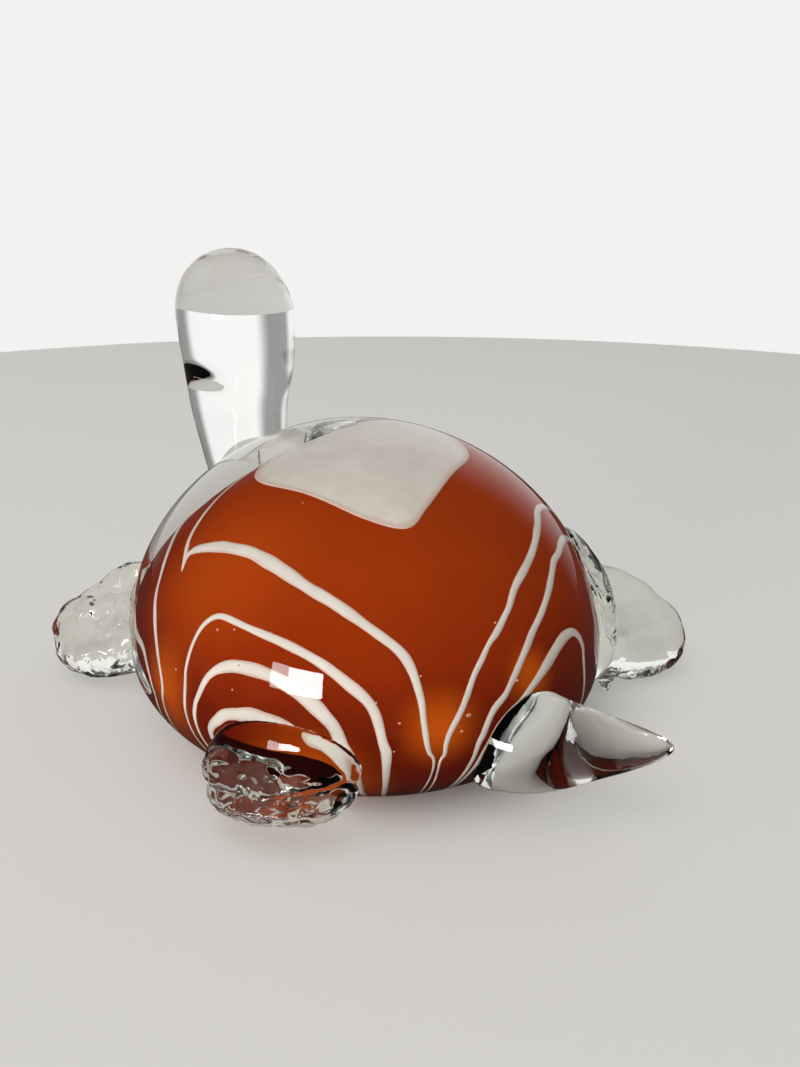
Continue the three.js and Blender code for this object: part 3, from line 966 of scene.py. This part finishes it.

# %% [markdown]
# ## Opaque orange glass
# The core is coloured with opaque orange glass that was rolled on as powder and melted in. Its colour
# is painted darker toward the foot as shade, and brighter orange glows are painted on it as light. A
# glow has an angle and a latitude on the core, a reach in millimetres and a strength. Under clear glass
# the core has no shine of its own.

# %% Opaque orange glass
orange_glass, tree = new_material("opaque_orange_glass_cased")
place = add_node(tree, "ShaderNodeTexCoord")
powder = clouds(tree, place, 16, detail=3.0, roughness=0.55)
axes = add_node(tree, "ShaderNodeSeparateXYZ", {"Vector": place.outputs["Object"]})
# Painted shade: this fade with height makes the core's colour darker toward the foot.
rise = fade(tree, axes.outputs["Z"], between=(6 * MM, 34 * MM), gives=(0.0, 0.8), kind="LINEAR")
uneven = reckon(tree, "MULTIPLY_ADD", {0: powder, 2: rise}, {1: 0.25})
colour = tones(tree, uneven,
               (0.1, "#6E1702"), (0.9, "#A23809"), (0.4, "#6C1903"), (0.65, "#902C06"))
# Painted light: each glow mixes a spot of bright orange into the core's colour.
PAINTED_GLOWS = [
    (155.8, 6, 8, 0.7), (182, 16.5, 6, 0.7), (74, -2, 10, 0.6), (124, -32, 13.5, 0.7), (72, 44, 20, 0.22),
]
for angle, latitude, reach, share in PAINTED_GLOWS:
    spot = to_frame(on_core(np.array([angle]), np.array([latitude]))[0][0])
    away = add_node(
        tree, "ShaderNodeVectorMath", {0: place.outputs["Object"]}, {1: spot}, operation="DISTANCE",
    )
    near = fade(tree, away.outputs["Value"], between=(0.0, reach * MM), gives=(share, 0.0))
    colour = add_node(
        tree, "ShaderNodeMixRGB", {"Fac": near, "Color1": colour}, {"Color2": linear("#E0620A")},
    ).outputs["Color"]
show_matte(tree, colour)
print("orange glass")

# %% [markdown]
# ## Opaque white glass
# The trails and the crown patch are opal white glass. Small clouds make it uneven, and where it runs
# thin, at the edges, a little of the orange shows through. Each piece carries that share of thinness
# in its own "edge" attribute.

# %% Opaque white glass
white_glass, tree = new_material("opal_white_glass_cased")
place = add_node(tree, "ShaderNodeTexCoord")
milky = clouds(tree, place, 5, detail=3.0, roughness=0.6)
opal = tones(tree, milky, (0.25, "#DDD4CA"), (0.75, "#EBE4DB"))
edge = add_node(tree, "ShaderNodeAttribute", attribute_name="edge")
thin = reckon(tree, "MULTIPLY", {0: edge.outputs["Fac"]}, {1: 0.45})
colour = add_node(
    tree, "ShaderNodeMixRGB", {"Fac": thin, "Color1": opal}, {"Color2": linear("#C27F5E")},
)
show_matte(tree, colour.outputs["Color"])
print("white glass")

# %% [markdown]
# ## Trapped air
# An air bubble in glass mirrors light at its rim, so it reads as a pale, shiny dot with a little of the
# core's colour in it. That reflection is painted here, as pale and darker pink colour in small clouds.

# %% Trapped air
trapped_air, tree = new_material("trapped_air_in_glass")
place = add_node(tree, "ShaderNodeTexCoord")
# Painted reflection: pale and darker pink in small clouds stand in for the bubble's glints.
painted_glints = tones(tree, clouds(tree, place, 0.4, detail=1.0), (0.35, "#A8573A"), (0.6, "#E9BCA8"))
paint = add_node(
    tree, "ShaderNodeBsdfPrincipled", {"Base Color": painted_glints}, {"Roughness": 0.15, "IOR": 1.5},
)
show(tree, paint)
air_seeds.data.materials.clear()
air_seeds.data.materials.append(trapped_air)
print("trapped air")

# %% [markdown]
# ## Joints that melted and joints that did not
# Where hot glass met hot glass, the two ran together and nothing is left to see between them. The core
# in its casing, the neck, the front flippers and the upper part of the left hind flipper are joined
# like that, so their faces inside the body's outline get the fused material. The tail, the smeared
# right hind flipper and all that lies low at the foot were stuck on cooler, and keep a skin of their
# own that mirrors the light. Faces are told apart by their depth under the body's outline.

# %% Give each piece its material


def depth_inside(spot):
    x, y, z = (np.array(spot) - BODY) / MM
    radius = math.hypot(x / BODY_STRETCH, y)
    if radius >= BODY_HALF_WIDTH or z >= BODY_HEIGHT:
        return 0.0
    rise = math.sqrt(1 - (radius / BODY_HALF_WIDTH) ** DOME_POWER)
    top = WIDEST_HEIGHT + (BODY_HEIGHT - WIDEST_HEIGHT) * rise
    return min(body_radius(max(z, 0)) - radius, top - z)


MELTED_ABOVE = 6.0
SKIN_DEPTH = 0.04
HOLLOW_DEPTH = 1.0
FOOT_EDGE = 0.9
STEM_HOLE = 20.0
LEVEL_FACE = 0.5
COOL_BEHIND = -36.0
SMOOTH_ANGLE = 35.0
FINISHES = {casing.name: clear_glass, neck.name: clear_glass}
for name in ("front_left_flipper", "front_right_flipper"):
    FINISHES[limbs[name].name] = crumpled_glass
STUCK_COOL = (tail, limbs["rear_right_flipper"])


def melted_on_casing(face, x, y, z, depth):
    if z < FOOT_EDGE:
        return math.hypot(x, y) < STEM_HOLE and abs(face.normal.z) < LEVEL_FACE
    behind = x < COOL_BEHIND or (x < 0 and y < 0)
    return depth > HOLLOW_DEPTH or (depth > SKIN_DEPTH and z > MELTED_ABOVE and not behind)


def dress_clear(piece):
    piece.data.materials.clear()
    piece.data.materials.append(FINISHES.get(piece.name, limb_glass))
    piece.data.materials.append(fused)
    joints = 0
    for face in piece.data.polygons:
        depth = depth_inside(face.center)
        x, y, z = (np.array(face.center) - BODY) / MM
        melted = depth > SKIN_DEPTH and z > MELTED_ABOVE and piece not in STUCK_COOL
        if piece == casing:
            melted = melted_on_casing(face, x, y, z, depth)
        face.material_index = int(melted)
        joints += int(melted)
    only(piece)
    bpy.ops.object.shade_smooth_by_angle(angle=math.radians(SMOOTH_ANGLE))
    print(piece.name, joints, "joint faces of", len(piece.data.polygons))


for piece in [casing] + list(limbs.values()):
    dress_clear(piece)
for piece in [core, patch] + trails:
    piece.data.materials.clear()
    piece.data.materials.append(orange_glass if piece == core else white_glass)

# %% [markdown]
# ## Riding on the frame
# Nothing on the turtle moves, so every piece rides on the one body. The frame's node that a piece
# stands for is hidden.

# %% Tie the pieces to the frame
for piece, node, slot in [(casing, "clear_casing", "clear_glass"), (core, "orange_core", "orange_glass"),
                          (patch, "white_crown_patch", "white_glass")]:
    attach(piece, "root")
    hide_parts(node)
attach(air_seeds, "root")
for i, trail in enumerate(trails):
    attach(trail, "root")
    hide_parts(f"white_trail_{i + 1:02d}")
for node, limb in limbs.items():
    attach(limb, "root")
    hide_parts(node)
print("all pieces ride on the root body")

# %% [markdown]
# ## Stage, light and camera
# The turtle stands on a plain pale disc, which lies a hair below the foot so that the two faces don't
# fight. Its matte paint keeps the shadow. In the mirror of the glass the floor is shown darker, because
# a pale floor would lie as a grey veil over the lower flank and hide the colour of the core.

# %% Stage
FLOOR_RADIUS = 450.0
FLOOR_DROP = 0.3
bpy.ops.object.select_all(action="DESELECT")
bpy.ops.mesh.primitive_circle_add(vertices=128, radius=FLOOR_RADIUS * MM, fill_type="NGON",
                                  location=to_frame((0, 0, -FLOOR_DROP)))
floor = bpy.context.object
floor.name = "floor"
floor_paint, tree = new_material("pale_matte_floor_paint")
paint = add_node(tree, "ShaderNodeBsdfPrincipled", None,
                 {"Base Color": linear("#E0DEDA"), "Roughness": 0.8, "Specular IOR Level": 0.2})
dim = add_node(tree, "ShaderNodeBsdfDiffuse", None, {"Color": linear("#4A4845")})
ray = add_node(tree, "ShaderNodeLightPath")
mix = add_node(
    tree, "ShaderNodeMixShader",
    {0: mirror_share(tree, ray), 1: paint.outputs["BSDF"], 2: dim.outputs["BSDF"]},
)
show(tree, mix)
floor.data.materials.append(floor_paint)
print("floor ready")

# %% [markdown]
# Glass looks like glass through what it bends and mirrors, so the light round it has some shape of its
# own. What is seen through the glass is a bright horizon with four white panels and darker gaps between
# them, dimmer toward the top, which draws dark edges on every clear piece. What the outside mirrors is
# dim, with one bright side. The camera sees plain white, and the rest is even, plain light.

# %% Light all round
PANELS = 4
BRIGHT_AZIMUTH = -40.0
world = bpy.data.worlds.new("light_all_round")
bpy.context.scene.world = world
world.use_nodes = True
tree = world.node_tree
tree.nodes.clear()
ray = add_node(tree, "ShaderNodeLightPath")
place = add_node(tree, "ShaderNodeTexCoord")
axes = add_node(tree, "ShaderNodeSeparateXYZ", {"Vector": place.outputs["Generated"]})
azimuth = reckon(tree, "ARCTAN2", {0: axes.outputs["Y"], 1: axes.outputs["X"]})
turn = math.radians(BRIGHT_AZIMUTH)
around = reckon(tree, "MULTIPLY_ADD", {0: azimuth}, {1: PANELS, 2: -PANELS * turn})
wave = reckon(tree, "COSINE", {0: around})
panels = fade(tree, wave, between=(-0.8, 0.0), gives=(0.3, 1.0))
ceiling = fade(tree, axes.outputs["Z"], between=(0.35, 0.75), gives=(1.0, 0.15))
level = reckon(tree, "MULTIPLY", {0: panels, 1: ceiling})
toward_bright = add_node(
    tree, "ShaderNodeVectorMath", {0: place.outputs["Generated"]},
    {1: (math.cos(turn), math.sin(turn), 0)}, operation="DOT_PRODUCT",
)
mirrored = fade(tree, toward_bright.outputs["Value"], between=(0.55, 0.95), gives=(0.04, 0.7))
white = linear("#FFFFFF")
light = add_node(tree, "ShaderNodeBackground", None, {"Color": white, "Strength": 0.4})
horizon = add_node(tree, "ShaderNodeBackground", {"Strength": level}, {"Color": white})
bright_side = add_node(tree, "ShaderNodeBackground", {"Strength": mirrored}, {"Color": white})
backdrop = add_node(tree, "ShaderNodeBackground", None, {"Color": linear("#F2F2F1"), "Strength": 1.0})
looking = reckon(tree, "LESS_THAN", {0: ray.outputs["Diffuse Depth"]}, {1: 0.5})
through_glass = reckon(tree, "MULTIPLY", {0: ray.outputs["Is Transmission Ray"], 1: looking})
shown = light
for share, layer in ((through_glass, horizon), (mirror_share(tree, ray), bright_side),
                     (ray.outputs["Is Camera Ray"], backdrop)):
    shown = add_node(tree, "ShaderNodeMixShader", {0: share, 1: shown.outputs[0], 2: layer.outputs[0]})
add_node(tree, "ShaderNodeOutputWorld", {"Surface": shown.outputs[0]})
print("light ready")

# %% [markdown]
# One small lamp low on the turtle's left makes the sharp highlight on the flank, and a narrower,
# weaker one beside it gives that highlight its second, paler half. A large soft lamp overhead lights
# the whole object plainly; it is hidden from mirrors and glass, where it would only add a white blot.

# %% Lamps
LAMP_AIM = (0, 0, 25)


def soft_lamp(name, azimuth, elevation, distance, width, height, power):
    turn, lift = math.radians(azimuth), math.radians(elevation)
    aim = to_frame(LAMP_AIM)
    away = Vector((math.cos(lift) * math.cos(turn), math.cos(lift) * math.sin(turn), math.sin(lift)))
    bpy.ops.object.light_add(type="AREA", location=aim + away * distance)
    lamp = bpy.context.object
    lamp.name = name
    lamp.rotation_euler = away.to_track_quat("Z", "Y").to_euler()
    lamp.data.shape = "RECTANGLE"
    lamp.data.size = width
    lamp.data.size_y = height
    lamp.data.energy = power
    print(name, power, "W")
    return lamp


soft_lamp("window", azimuth=109.5, elevation=3.5, distance=0.9, width=0.23, height=0.2, power=3.2)
soft_lamp("window_side", azimuth=98.5, elevation=4, distance=0.9, width=0.12, height=0.19, power=0.6)
overhead = soft_lamp("overhead", azimuth=92, elevation=68, distance=2.2, width=2.0, height=2.0, power=28.0)
overhead.visible_glossy = False
overhead.visible_transmission = False

# %% [markdown]
# The camera looks down on the turtle from behind its left side, as in the picture that was followed.
# Its place and axes were worked out by matching the body's outline and foot, and the lens follows from
# the picture's own scale: the focal length in pixels over the longer side of the frame.

# %% Camera
ACROSS = Vector((-0.6428, -0.7660, 0.0))
FORWARD = Vector((0.71985, -0.60402, -0.34202))
STANDPOINT = (-136.32, 105.23, 96.6)
FOCAL_PIXELS = 1000.0
LONG_SIDE_PIXELS = 1067.0
SENSOR = 36.0
CLIP_START = 0.01

bpy.ops.object.camera_add(location=to_frame(STANDPOINT))
camera = bpy.context.object
upright = ACROSS.cross(FORWARD)
turned = Matrix((ACROSS, upright, -FORWARD)).transposed()
camera.rotation_euler = turned.to_euler()
camera.data.sensor_width = SENSOR
camera.data.lens = SENSOR * FOCAL_PIXELS / LONG_SIDE_PIXELS
camera.data.clip_start = CLIP_START
bpy.context.scene.camera = camera
print("camera", [round(c, 4) for c in camera.location], round(camera.data.lens, 2))

# %% [markdown]
# Thick glass passes light through many surfaces, so rays may bounce more often than usual. The view
# transform stays plain.

# %% Finish
BOUNCES = 24
scene = bpy.context.scene
scene.cycles.max_bounces = BOUNCES
scene.cycles.transmission_bounces = BOUNCES
scene.cycles.transparent_max_bounces = BOUNCES
scene.view_settings.view_transform = "Standard"
